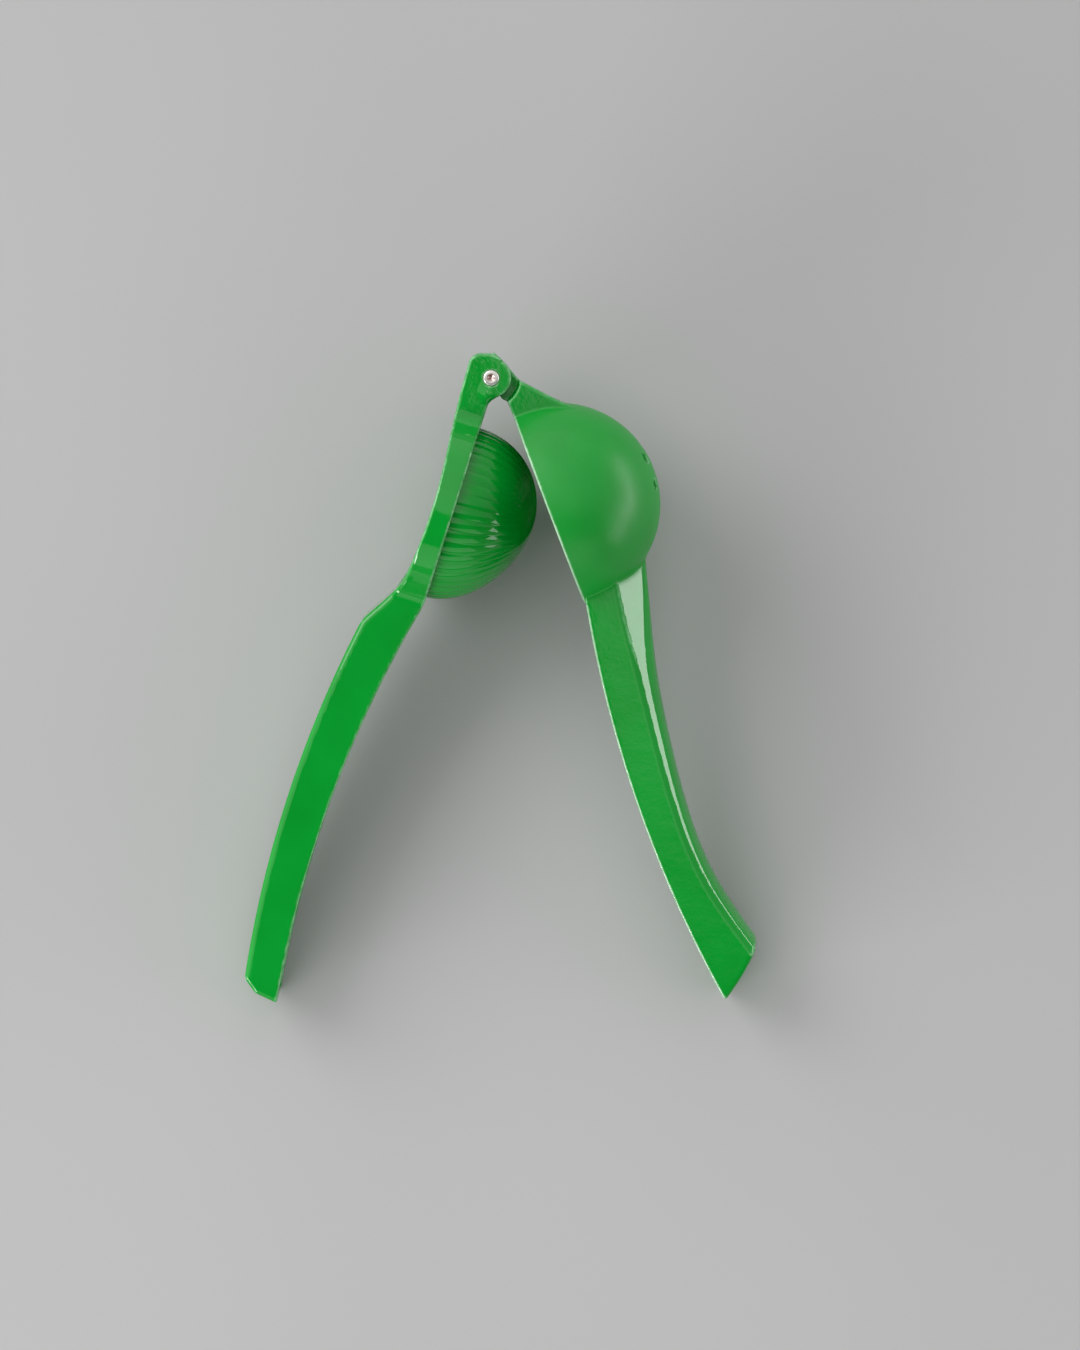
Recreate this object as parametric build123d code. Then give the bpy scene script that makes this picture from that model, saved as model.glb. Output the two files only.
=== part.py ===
"""Hinged lemon squeezer: a bowl arm and a press arm, cast in aluminium, that turn on one steel pin.

Each arm is drawn in one flat frame. x runs from the pin towards the handle's tip, y from the press
arm towards the bowl arm, and z along the pin. The arms are then turned to the angle they lie at, and
the whole tool is laid on its side, resting on the bowl's side and on both handle tips.
"""
from build123d import *
import os
from math import cos, pi, sin, sqrt

# ---- Driving dimensions, in millimetres and degrees ----

# How the tool lies: each arm's angle from the middle line between the handles
bowl_arm_angle = 20.9
press_arm_angle = -17.6

# Hinge
pin_d = 5.0
pin_proud = 0.5
pin_edge_chamfer = 0.4
pin_dimple_d = 2.4
pin_dimple_depth = 0.9
pin_running_gap = 0.05
ear_outer_half = 10.5
ear_t = 4.5
ear_nose_r = 6.35
ear_nose_start = 150.0
ear_nose_point = (-7.0, 0.2)
ear_end_point = (-7.1, -2.6)
ear_corner = (-5.4, -8.4)
ear_corner_r = 3.2
ear_back_points = ((12.0, -7.6), (-1.0, -8.2))
tongue_side_gap = 0.25
tongue_nose_r = 6.3
heel_corner = (-7.2, 3.6)
heel_back = (-4.6, 5.0)
tongue_root = (11.0, 11.0)
tongue_chin = (7.4, 0.7)
shoulder_r = 9.0
slot_floor_gap = 0.3
stop_web_x = 5.8
stop_web_depth = 5.3

# Bowl and press head
hinge_to_dome = 17.2
dome_r = 28.4
dome_lead = 0.75
juice_gap = 1.4
bowl_wall = 2.7
bowl_band = 3.5
press_face_y = 1.6
closed_gap = 0.6
ring_margin = 2.5
ring_wall = 3.0
ring_face_t = 2.8
ring_back_depth = 5.3
ring_back_dip = 1.3
ring_reach = 21.5
ring_blend_r = 3.0
dome_h = 25.8
dome_squareness = 1.9
dome_lean = 3.1
dome_lean_power = 1.4
dome_wall = 2.6
flute_count = 44
flute_land_r = 6.0
dome_levels = (0.2, 0.4, 0.58, 0.74, 0.87, 0.97)
cap_overlap = 0.3
cap_inset = 0.03

# Juice holes: one in the middle and one ring
juice_hole_d = 3.4
juice_ring_r = 8.9
juice_ring_count = 6

# Neck between the bowl and the tongue
neck_half = 9.5
neck_back_x = 3.8
neck_back_y = 8.0
neck_back_slope = 0.895

# Handles: channels that open towards each other. A low point's place is its share of the way from
# the middle of the bowl to the handle's tip
handle_w = 25.0
handle_wall = 2.6
handle_corner_r = 1.8
handle_tip_x = 212.5
bowl_edge_r = 395.0
bowl_edge_low_at = 0.655
bowl_edge_low = 4.95
bowl_root_at = 0.72
bowl_end_slant = 14.0
bowl_end_corner_y = 16.3
bowl_end_bulge = 0.8
edge_overrun = 1.0
press_edge_r = 375.0
press_edge_low_at = 0.685
press_edge_low = 8.15
press_crown_r = 370.0
press_crown_low_at = 0.62
press_crown_low = 21.4
press_shoulder_gap = 10.2
press_shoulder_round = 5.0
press_shoulder_slope = 0.5
press_end_round = 2.5
ring_end_slope = 0.1
ear_armpit_r = 3.0

# End of the press arm's handle: how much shorter the handle is than the bowl arm's, how far the knee
# lies behind the tip and under it, and how far the corner on the crown lies behind the tip
press_tip_short = 1.3
press_end_knee = (1.0, 7.672)
press_end_slant = 4.6

# Crown line of the bowl arm's handle: share of the way from its root in the bowl's wall to its tip,
# height, and how far the crown is domed
bowl_crown_stations = (
    (0.0, 27.0, 11.0),
    (0.12, 22.3, 9.4),
    (0.26, 16.9, 6.4),
    (0.40, 13.2, 5.2),
    (0.57, 10.3, 4.4),
    (0.74, 10.6, 3.9),
    (0.85, 13.9, 3.5),
    (0.93, 17.2, 3.3),
    (1.03, 22.3, 3.2),
)

# How finely the resting points are sought, and how near an edge lies to the line it is picked by
settle_rounds = 4
settle_tolerance = 0.02
pick_tolerance = 0.01

# ---- Sizes that follow ----
pin_r = pin_d / 2
ear_inner_half = ear_outer_half - ear_t
tongue_half = ear_inner_half - tongue_side_gap
rim_y = press_face_y + closed_gap
bowl_x = hinge_to_dome + dome_r
bowl_r_in = dome_r + juice_gap
bowl_r = bowl_r_in + bowl_wall
bowl_cy = rim_y + bowl_band
dome_x = bowl_x - dome_lead
ring_r = dome_r + ring_margin
handle_half = handle_w / 2
handle_reach = handle_tip_x - bowl_x
bowl_root_x = bowl_x + bowl_root_at * dome_r
bowl_edge_low_x = bowl_x + bowl_edge_low_at * handle_reach
bowl_end_corner_x = handle_tip_x - bowl_end_slant
press_tip_x = handle_tip_x - press_tip_short
press_end_corner_x = press_tip_x - press_end_slant
press_edge_low_x = bowl_x + press_edge_low_at * handle_reach
press_crown_low_x = bowl_x + press_crown_low_at * handle_reach
press_shoulder_x = dome_x + ring_r + press_shoulder_gap
heel_r = sqrt(heel_corner[0] ** 2 + heel_corner[1] ** 2)
slot_r = max(heel_r + slot_floor_gap, shoulder_r + slot_floor_gap)
far = 2 * handle_tip_x


def pushed(outline, half):
    """Extrude a side outline to both sides of the middle plane."""
    return extrude(outline, amount=half, both=True)


def arc_height(x, x_low, low, r):
    """Height of a shallow circular arc of radius r, whose lowest point is at (x_low, low)."""
    return low + r - sqrt(r**2 - (x - x_low) ** 2)


def away(along):
    """Direction square to the line of a handle's end, pointing away from the pin."""
    out = along.rotate(Axis.Z, 90)
    return out if out.X > 0 else -out


def end_cut(corner, tip, bulge, inset):
    """Side outline of all that lies past a handle's bulging end, moved inwards by inset."""
    along = (tip - corner).normalized()
    out = away(along)
    half = (tip - corner).length / 2
    r = (half**2 + bulge**2) / (2 * bulge)
    centre = (corner + tip) * 0.5 + out * (bulge - r)
    start, stop = corner - out * inset - along * half * 2, tip - out * inset + along * half * 2
    past = make_face(Polyline(start, stop, stop + out * far, start + out * far, close=True))
    return past - Pos(centre.X, centre.Y) * Circle(r - inset)


def past(a, b, inset):
    """Side outline of all that lies past the line through two points, moved inwards by inset."""
    along = (b - a).normalized()
    out = away(along)
    start, stop = a - out * inset - along * far, b - out * inset + along * far
    return make_face(Polyline(start, stop, stop + out * far, start + out * far, close=True))


def station_x(share):
    """Distance from the pin of a station on the bowl arm's handle."""
    return bowl_root_x + share * (handle_tip_x - bowl_root_x)


def bowl_edge(x):
    """Height of the hollow side's edge on the bowl arm's handle."""
    return arc_height(x, bowl_edge_low_x, -bowl_edge_low, bowl_edge_r)


def press_edge(x):
    """Height of the hollow side's edge on the press arm's handle."""
    return arc_height(x, press_edge_low_x, -press_edge_low, press_edge_r)


def press_crown(x):
    """Height of the flat outer face of the press arm's handle."""
    return arc_height(x, press_crown_low_x, -press_crown_low, press_crown_r)


# ---- Bowl arm ----

def bowl_profile(r, top):
    """Half section of a round bowl about its own axis, open at the height top."""
    centre = Vector(bowl_x, bowl_cy)
    side = Line((bowl_x + r, top), (bowl_x + r, bowl_cy))
    round_end = CenterArc(centre, r, 0, 90)
    axis = Line((bowl_x, bowl_cy + r), (bowl_x, top))
    lid = Line((bowl_x, top), (bowl_x + r, top))
    return make_face(side + round_end + axis + lid)


def bowl_body(r, top):
    """Solid round bowl, with its surface's seam turned to lie between two juice holes."""
    axis = Axis((bowl_x, 0, 0), (0, 1, 0))
    return revolve(bowl_profile(r, top), axis).rotate(axis, 180 / juice_ring_count)


def bowl_handle_section(at, crown, dome, inset, corner_r):
    """Section of the bowl arm's handle: flat sides and a domed crown, deeper than the handle."""
    half = handle_half - inset
    deep = -handle_w - inset
    top = crown - inset
    crown_r = (handle_half**2 + dome**2) / (2 * dome) - inset
    spring = top - crown_r + sqrt(crown_r**2 - half**2)
    with BuildSketch(Plane((station_x(at), 0, 0), x_dir=(0, 1, 0), z_dir=(1, 0, 0))) as section:
        with BuildLine():
            Polyline((spring, -half), (deep, -half), (deep, half), (spring, half))
            ThreePointArc((spring, half), (top, 0), (spring, -half))
        make_face()
        fillet(section.vertices().group_by(Axis.Y)[-1], corner_r)
    return section.sketch


def below_bowl_edge():
    """Side outline of all that lies below the curved edge of the bowl arm's handle."""
    start = station_x(bowl_crown_stations[0][0]) - edge_overrun
    stop = station_x(bowl_crown_stations[-1][0]) + edge_overrun
    edge = ThreePointArc((start, bowl_edge(start)), (bowl_edge_low_x, -bowl_edge_low),
                         (stop, bowl_edge(stop)))
    rest = Polyline(edge @ 1, (stop, -far), (start, -far), edge @ 0)
    return make_face(edge + rest)


def bowl_handle():
    """Channel handle of the bowl arm, running on into the bowl's wall."""
    outer = loft([bowl_handle_section(at, y, d, 0, handle_corner_r) for at, y, d in bowl_crown_stations])
    hollow = loft([bowl_handle_section(at, y, d, handle_wall, handle_corner_r / 2)
                   for at, y, d in bowl_crown_stations])
    corner = Vector(bowl_end_corner_x, bowl_end_corner_y)
    tip = Vector(handle_tip_x, bowl_edge(handle_tip_x))
    outer -= pushed(below_bowl_edge(), handle_w)
    outer -= pushed(end_cut(corner, tip, bowl_end_bulge, 0), handle_w)
    hollow -= pushed(end_cut(corner, tip, bowl_end_bulge, handle_wall), handle_w)
    return outer - hollow


def neck_outline():
    """Side outline of the neck, from the shoulder round the ears to inside the bowl's wall."""
    inner_x = bowl_x - bowl_r_in + bowl_wall
    back_y = neck_back_y + (inner_x - neck_back_x) * neck_back_slope
    plate = make_face(Polyline((0, rim_y), (inner_x, rim_y), (inner_x, back_y),
                               (neck_back_x, neck_back_y), (0, neck_back_y), close=True))
    return plate - Circle(shoulder_r)


def tongue_outline():
    """Side outline of the tongue between the ears, with the heel that meets the stop web."""
    heel = make_face(Polyline((-tongue_nose_r, 0), heel_corner, heel_back, (neck_back_x, neck_back_y),
                              tongue_root, (tongue_root[0], rim_y), (shoulder_r, rim_y), tongue_chin,
                              (0, 0), close=True))
    return Circle(tongue_nose_r) + heel


def juice_holes():
    """Drills for the juice holes: one in the middle of the bowl and one ring."""
    drill = Rot(-90, 0, 0) * Cylinder(juice_hole_d / 2, bowl_r, align=(Align.CENTER, Align.CENTER, Align.MIN))
    places = [(0, 0)]
    for k in range(juice_ring_count):
        turn = 2 * pi * k / juice_ring_count
        places.append((juice_ring_r * cos(turn), juice_ring_r * sin(turn)))
    return [Pos(bowl_x + dx, bowl_cy, dz) * drill for dx, dz in places]


def make_bowl_arm():
    """Bowl arm in its own frame: bowl, neck, handle and tongue, less the bore and the juice holes."""
    arm = bowl_body(bowl_r, rim_y) + pushed(neck_outline(), neck_half)
    arm += bowl_handle()
    arm -= bowl_body(bowl_r_in, rim_y - handle_w)
    arm += pushed(tongue_outline(), tongue_half)
    arm -= Cylinder(pin_r + pin_running_gap, far)
    for hole in juice_holes():
        arm -= hole
    return arm


# ---- Press arm ----

def dome_centre(h):
    """The dome leans towards the hinge as it rises."""
    return dome_x - dome_lean * (h / dome_h) ** dome_lean_power


def dome_radius(h, size):
    """Radius of the dome at height h, for a dome that is size of the full one."""
    top = dome_h - (dome_r - size)
    return size * (1 - (min(h, top) / top) ** dome_squareness) ** (1 / dome_squareness)


def fluted_level(h):
    """One level of the fluted dome: round lands that meet in fine creases."""
    r = dome_radius(max(h, 0), dome_r)
    pitch = 2 * r * sin(pi / flute_count)
    dip = flute_land_r - sqrt(flute_land_r**2 - (pitch / 2) ** 2)
    step = 2 * pi / flute_count
    lands = []
    for k in range(flute_count):
        a, b, c = k * step, (k + 0.5) * step, (k + 1) * step
        low = r - dip
        lands.append(ThreePointArc((low * cos(a), low * sin(a)), (r * cos(b), r * sin(b)),
                                   (low * cos(c), low * sin(c))))
    plane = Plane((dome_centre(max(h, 0)), press_face_y + h, 0), x_dir=(1, 0, 0), z_dir=(0, 1, 0))
    return plane * make_face(lands)


def fluted_dome():
    """Outside of the dome, from inside the ring's face to its smooth cap."""
    heights = [-ring_face_t / 2, 0] + [dome_h * share for share in dome_levels]
    body = loft([fluted_level(h) for h in heights])
    return body + dome_cap(heights[-1], dome_r)


def dome_cap(h, size):
    """Round cap over the level h of a dome, reaching a little below that level."""
    r = dome_radius(h, size)
    rise = dome_h - (dome_r - size) - h
    ball_r = (r**2 + rise**2) / (2 * rise)
    centre = (dome_centre(h), press_face_y + h + rise - ball_r, 0)
    ball = Pos(*centre) * Sphere(ball_r)
    reach = upright(dome_centre(h), press_face_y + dome_h, rise + cap_overlap + dome_r - size, r - cap_inset)
    return ball & reach


def dome_hollow():
    """Inside of the dome, open at its back."""
    size = dome_r - dome_wall
    top = dome_h - dome_wall
    levels = []
    for share in (0,) + dome_levels:
        h = top * share
        plane = Plane((dome_centre(h), press_face_y + h, 0), x_dir=(1, 0, 0), z_dir=(0, 1, 0))
        levels.append(plane * Circle(dome_radius(h, size)))
    body = loft(levels) + dome_cap(top * dome_levels[-1], size)
    return body + upright(dome_x, press_face_y, far, size)


def upright(x, y, length, r):
    """Round bar along y that ends at the height y and reaches length below it."""
    return Pos(x, y, 0) * Rot(90, 0, 0) * Cylinder(r, length, align=(Align.CENTER, Align.CENTER, Align.MIN))


def press_end():
    """The three corners of the press arm's end, from its crown to its hollow side."""
    tip = Vector(press_tip_x, press_edge(press_tip_x))
    return Vector(press_end_corner_x, press_crown(press_end_corner_x)), tip - Vector(*press_end_knee), tip


def press_side():
    """Side outline of the whole press arm: ears, ring and handle under one line."""
    face_drop = press_edge_r - press_face_y - press_edge_low
    edge_start = press_edge_low_x - sqrt(press_edge_r**2 - face_drop**2)
    corner, knee, tip = press_end()
    shoulder = Vector(press_shoulder_x, press_crown(press_shoulder_x))
    ring_back = Vector(dome_x, -ring_back_depth)
    head_end = Vector(dome_x + ring_reach, -ring_back_depth - ring_back_dip)
    head_start = Vector(dome_x - ring_reach, -ring_back_depth - ring_back_dip)
    nose = Vector(ear_nose_r, 0).rotate(Axis.Z, ear_nose_start)
    lines = [
        Line((0, press_face_y), (edge_start, press_face_y)),
        ThreePointArc((edge_start, press_face_y), (press_edge_low_x, -press_edge_low), tip),
        Line(tip, knee),
        Line(knee, corner),
        ThreePointArc(corner, (press_crown_low_x, -press_crown_low), shoulder),
        Spline(shoulder, head_end, tangents=((-1, press_shoulder_slope), (-1, ring_end_slope))),
        ThreePointArc(head_end, ring_back, head_start),
        Spline(head_start, *ear_back_points),
        Line(ear_back_points[-1], ear_corner),
        Line(ear_corner, ear_end_point),
        ThreePointArc(ear_end_point, ear_nose_point, nose),
        Line(nose, (0, press_face_y)),
    ]
    side = Sketch() + make_face(lines) + Circle(ear_nose_r)
    armpit = side.vertices().sort_by_distance((ear_nose_r, press_face_y))[0]
    side = fillet(armpit, ear_armpit_r)
    side = fillet(side.vertices().sort_by_distance(ear_corner)[0], ear_corner_r)
    for turn in (corner, knee):
        side = fillet(side.vertices().sort_by_distance(turn)[0], press_end_round)
    shoulder_corner = side.vertices().sort_by_distance(shoulder)[0]
    return fillet(shoulder_corner, press_shoulder_round)


def beyond(x, side, half):
    """Block that keeps only what lies on one side of the distance x from the pin."""
    return Pos(x + side * far / 2, 0, 0) * Box(far, far, 2 * half)


def on_crown(point):
    """Whether a point lies on the outline of the press arm's handle, other than on its hollow side."""
    on_side = abs(abs(point.Z) - handle_half) < pick_tolerance
    past_head = point.X > dome_x + ring_reach
    return on_side and past_head and abs(point.Y - press_edge(point.X)) > pick_tolerance


def press_handle_hollow():
    """Hollow of the press arm's handle, open towards the bowl arm."""
    floor_start = (press_shoulder_x, press_crown(press_shoulder_x) + handle_wall)
    floor_end = (handle_tip_x, press_crown(handle_tip_x) + handle_wall)
    ring_side = Vector(dome_x + ring_r, -ring_back_depth)
    floor = ThreePointArc(floor_start, (press_crown_low_x, handle_wall - press_crown_low), floor_end)
    rest = Polyline(floor_end, (handle_tip_x, handle_w), (dome_x, handle_w), (dome_x, ring_side.Y),
                    ring_side, floor_start)
    corner, knee, tip = press_end()
    outline = make_face(floor + rest) - past(corner, knee, handle_wall) - past(knee, tip, handle_wall)
    return pushed(outline, handle_half - handle_wall)


def ear_slot():
    """Room between the ears for the tongue, less the web that stops its heel."""
    room = Circle(slot_r) + Pos(-far / 2, 0) * Rectangle(far, far)
    web = Pos(stop_web_x + far / 2, -stop_web_depth - far / 2) * Rectangle(far, far)
    return pushed(room - web, ear_inner_half)


def head_plan():
    """Plan of the head: the ring, the ears' root and the handle's root, blended at the corners."""
    root = dome_x + ring_r + ring_blend_r
    plan = Circle(ring_r) + Pos(-dome_x / 2) * Rectangle(dome_x, 2 * ear_outer_half)
    plan += Pos((root - dome_x) / 2) * Rectangle(root - dome_x, handle_w)
    corners = [v for v in plan.vertices() if abs(v.X) < ring_r]
    plan = fillet(corners, ring_blend_r)
    return Plane((dome_x, press_face_y, 0), x_dir=(1, 0, 0), z_dir=(0, -1, 0)) * plan


def make_press_arm():
    """Press arm in its own frame: ears, ring, fluted dome and handle, less the slot and the bore."""
    side = press_side()
    head = extrude(head_plan(), amount=far) & pushed(side, 2 * ring_r)
    nose = pushed(side, ear_outer_half) & beyond(dome_x, -1, far)
    handle = pushed(side, handle_half) & beyond(dome_x, 1, far)
    handle = fillet([e for e in handle.edges() if on_crown(e.center())], handle_corner_r)
    arm = head + nose + (handle - press_handle_hollow())
    arm += fluted_dome()
    arm -= dome_hollow()
    arm -= upright(dome_x, press_face_y - ring_face_t, far, ring_r - ring_wall)
    arm -= ear_slot()
    arm -= Cylinder(pin_r, far)
    return arm


# ---- Hinge pin ----

def make_pin():
    """Round pin with chamfered ends and a conical dimple in each."""
    half = ear_outer_half + pin_proud
    corner = pin_r - pin_edge_chamfer
    profile = make_face(Polyline((0, 0), (pin_r, 0), (pin_r, half - pin_edge_chamfer), (corner, half),
                                 (pin_dimple_d / 2, half), (0, half - pin_dimple_depth), close=True))
    upper = revolve(Plane.XZ * profile, Axis.Z)
    return upper + mirror(upper, Plane.XY)


# ---- The tool as it lies: on the bowl's side and both handle tips ----

def turned(angle):
    """Turn an arm's own frame to its angle from the middle line, with the handles pointing down."""
    return Rot(0, 0, angle - 90)


def lowest(shape, down):
    """Point of a shape that lies farthest down."""
    return max(shape.tessellate(settle_tolerance)[0], key=lambda point: point.dot(down))


def middle(shapes, along):
    """Middle of the extent of some shapes along a direction."""
    ends = [lowest(shape, side).dot(along) for shape in shapes for side in (along, -along)]
    return (min(ends) + max(ends)) / 2


def resting(feet):
    """Location that lays the plane through the lowest point of each of three feet on the ground."""
    down = Vector(0, 0, -1)
    for _ in range(settle_rounds):
        a, b, c = [lowest(foot, down) for foot in feet]
        down = (b - a).cross(c - a).normalized()
        if down.Z > 0:
            down = -down
    return Plane(a, x_dir=Vector(1, 0, 0) - down * down.X, z_dir=-down).location.inverse()


def make_tool():
    """Lay all three pieces down, with the origin under the middle of the tool."""
    bowl_turn, press_turn = turned(bowl_arm_angle), turned(press_arm_angle)
    bowl_arm = bowl_turn * make_bowl_arm()
    press_arm = press_turn * make_press_arm()
    end = beyond(bowl_end_corner_x, 1, far)
    cup = bowl_turn * bowl_body(bowl_r, rim_y)
    laid = resting([cup, bowl_arm & (bowl_turn * end), press_arm & (press_turn * end)])
    arms = [laid * bowl_arm, laid * press_arm]
    placed = Pos(-middle(arms, Vector(1, 0, 0)), -middle(arms, Vector(0, 1, 0))) * laid
    upright_pieces = {"bowl_arm": bowl_arm, "press_arm": press_arm, "hinge_pin": make_pin()}
    return placed, {node: placed * shape for node, shape in upright_pieces.items()}


os.makedirs("parts", exist_ok=True)
hinge_place, nodes = make_tool()
for node, shape in nodes.items():
    export_step(shape, f"parts/{node}.step")
print("hinge centre", hinge_place.position, "pin direction", Plane(hinge_place).z_dir)
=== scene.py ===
"""Looks of the hinged lemon squeezer: two enamelled castings, a fluted dome and a steel pin.

Each casting is described in its own arm's frame, in millimetres: x runs from the pin towards the
handle's tip, y from the press arm towards the bowl arm, and z along the pin. A form is a function that
is below zero inside the metal and gives roughly the distance to its surface, so forms can be joined with
a fillet or cut with a rounded edge, as a pattern maker would.
"""
import bpy
import numpy as np
from math import cos, hypot, pi, radians, sin, sqrt
from mathutils import Matrix, Vector


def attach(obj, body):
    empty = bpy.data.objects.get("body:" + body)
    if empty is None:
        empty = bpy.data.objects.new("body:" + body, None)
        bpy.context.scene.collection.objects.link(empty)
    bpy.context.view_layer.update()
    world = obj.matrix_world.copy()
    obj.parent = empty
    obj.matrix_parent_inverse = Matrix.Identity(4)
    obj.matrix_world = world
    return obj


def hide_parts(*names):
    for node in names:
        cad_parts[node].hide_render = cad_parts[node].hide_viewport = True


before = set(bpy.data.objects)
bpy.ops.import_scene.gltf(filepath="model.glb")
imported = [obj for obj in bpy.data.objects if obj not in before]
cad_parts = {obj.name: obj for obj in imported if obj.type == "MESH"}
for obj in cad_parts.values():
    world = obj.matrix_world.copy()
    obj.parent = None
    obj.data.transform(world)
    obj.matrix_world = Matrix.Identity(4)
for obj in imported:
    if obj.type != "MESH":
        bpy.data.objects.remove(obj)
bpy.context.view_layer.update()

MM = 0.001

# ---- Where the arms lie ----
PIN_PLACE = np.array([-3.76101, 95.3705, 37.8015])
PIN_LINE = np.array([-0.000517, -0.127999, 0.991774])
BOWL_ARM_ANGLE = 20.9
PRESS_ARM_ANGLE = -17.6

# ---- Sizes, in millimetres ----
PIN_R, PIN_GAP, PIN_PROUD, PIN_EASE = 2.5, 0.05, 0.5, 0.01
EAR_OUTER, EAR_INNER, TONGUE_HALF = 10.5, 6.0, 5.75
EAR_NOSE_R, TONGUE_NOSE_R, SHOULDER_R, SLOT_R = 6.35, 6.3, 9.0, 9.3
EAR_BACK = ((23.35, -6.6), (12.0, -7.6), (-1.0, -8.2))
EAR_CORNER, EAR_END, EAR_NOSE = (-5.4, -8.4), (-7.1, -2.6), (-6.9, 0.3)
WEB_X, WEB_DEPTH = 5.8, 5.3
TONGUE = ((-6.3, 0.0), (-7.2, 3.6), (-4.6, 5.0), (3.8, 8.0), (11.0, 11.0), (11.0, 2.2), (9.0, 2.2),
          (7.4, 0.7), (0.0, 0.0))
BOWL_X, BOWL_Y, BOWL_R, BOWL_R_IN, RIM_Y = 45.6, 5.7, 32.5, 29.8, 2.2
HOLE_R, HOLE_RING_R, HOLE_COUNT = 1.7, 8.9, 6
NECK_HALF, NECK_X, NECK_Y, NECK_SLOPE, NECK_INTO_BOWL = 9.5, 3.8, 8.0, 0.895, 5.0
HALF_W, WALL, TIP_X, HANDLE_ROOT_AT = 12.5, 2.6, 212.5, 0.7
CROWN = ((66.05, 27.0, 11.0, 5.5), (83.62, 22.3, 9.4, 8.3), (104.13, 16.9, 6.5, 16.4),
         (124.63, 13.2, 5.3, 22.0), (149.53, 10.3, 4.5, 26.0), (174.42, 10.6, 4.0, 29.0),
         (190.53, 13.9, 3.7, 31.0), (202.25, 17.2, 3.5, 33.0), (216.89, 22.3, 3.4, 34.0))
CROWN_SLANT = 44.0
BOWL_EDGE = (154.9, -4.95, 395.0)
PRESS_EDGE = (159.9, -8.15, 375.0)
PRESS_CROWN = (149.1, -21.4, 370.0)
BOWL_END = ((198.5, 16.3), 0.8)
PRESS_TIP_X, PRESS_KNEE, PRESS_CORNER_X = 211.2, (210.2, -12.3), 206.6
DOME_X, FACE_Y, RING_R, RING_WALL, PLATE = 44.85, 1.6, 30.9, 3.0, 2.8
RING_BACK, RING_DIP, RING_REACH = 5.3, 1.3, 21.5
SHOULDER_X, SHOULDER_SLOPE, HEAD_SLOPE, HEAD_END_X = 85.95, 0.5, 0.1, 66.35
HOLLOW_X, HOLLOW_START = 78.75, ((75.75, -5.3), (85.95, -13.4))
DOME_R, DOME_H, DOME_WALL = 28.4, 25.8, 2.6
DOME_SQUARENESS, DOME_LEAN, DOME_LEAN_POWER = 1.9, 3.1, 1.4
FLUTES, FLUTE_LAND_R = 44, 6.0

# ---- Roundings, in millimetres ----
CUT_EDGE_R = 0.8
BOWL_RIM_R, BOWL_NECK_R, NECK_EDGE_R, NECK_CORNER_R = 0.6, 0.6, 1.0, 0.5
TONGUE_EDGE_R, TONGUE_ROOT_R, BORE_EDGE_R, HOLE_EDGE_R = 0.4, 0.5, 0.3, 0.3
CROWN_EDGE_R, CROWN_RIDGE_R, INNER_EDGE_R, BOWL_END_R = 0.9, 0.4, 0.8, 1.3
HOLLOW_CORNER_R, HOLLOW_END_R, HANDLE_ROOT_R = 1.2, 1.4, 0.7
PRESS_BACK_R, EAR_CORNER_R, PRESS_END_R, PRESS_KNEE_R = 0.3, 2.8, 0.7, 0.4
PLAN_FILLET, PRESS_FACE_R, PRESS_HOLLOW_R, HOLLOW_SLOPE_R = 3.0, 0.5, 1.0, 0.6
RING_EDGE_R, HANDLE_EXTRA_R = 0.8, 1.0
SLOT_EDGE_R, SLOT_WEB_R, SLOT_SIDE_R = 0.5, 0.5, 0.4
DOME_OVERLAP, DOME_SEAM_R = 0.05, 0.1


def arm_place(angle):
    """Matrix from an arm's own frame, in metres, to where the arm lies."""
    across = np.array([1.0, 0.0, 0.0])
    across = across - PIN_LINE * (across @ PIN_LINE)
    across /= np.linalg.norm(across)
    up = np.cross(PIN_LINE, across)
    t = radians(angle - 90)
    along, out = cos(t) * across + sin(t) * up, -sin(t) * across + cos(t) * up
    place = Matrix.Identity(4)
    for i in range(3):
        place[i][0], place[i][1], place[i][2], place[i][3] = along[i], out[i], PIN_LINE[i], PIN_PLACE[i] * MM
    return place


# ---- Joining and cutting forms ----

def meet(a, b, r):
    """What lies in both forms, with its edge rounded to r."""
    return np.minimum(np.maximum(a, b), -r) + np.hypot(np.maximum(a + r, 0), np.maximum(b + r, 0))


def join(a, b, r):
    """Both forms together, with a fillet of r where they meet."""
    return np.maximum(np.minimum(a, b), r) - np.hypot(np.maximum(r - a, 0), np.maximum(r - b, 0))


def cut(a, b, r):
    """The first form less the second, with the new edge rounded to r."""
    return meet(a, -b, r)


def plain_outline(x, y, points):
    """Distance to a flat outline with straight sides."""
    near, turns = None, None
    for (ax, ay), (bx, by) in zip(points, points[1:] + points[:1]):
        ex, ey = bx - ax, by - ay
        px, py = x - ax, y - ay
        t = np.clip((px * ex + py * ey) / (ex * ex + ey * ey), 0, 1)
        d = np.hypot(px - ex * t, py - ey * t)
        near = d if near is None else np.minimum(near, d)
        above, below = py >= 0, y < by
        left = ex * py - ey * px
        crossing = np.where(above & below & (left > 0), 1, 0) - np.where(~above & ~below & (left < 0), 1, 0)
        turns = crossing if turns is None else turns + crossing
    return np.where(turns != 0, -near, near)


def above_arc(x, y, arc):
    """Distance to a shallow arc given by its lowest point and radius, below zero above the arc."""
    low_x, low_y, r = arc
    return np.hypot(x - low_x, y - low_y - r) - r


def arc_height(x, arc):
    low_x, low_y, r = arc
    return low_y + r - sqrt(r * r - (x - low_x) ** 2)


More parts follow.
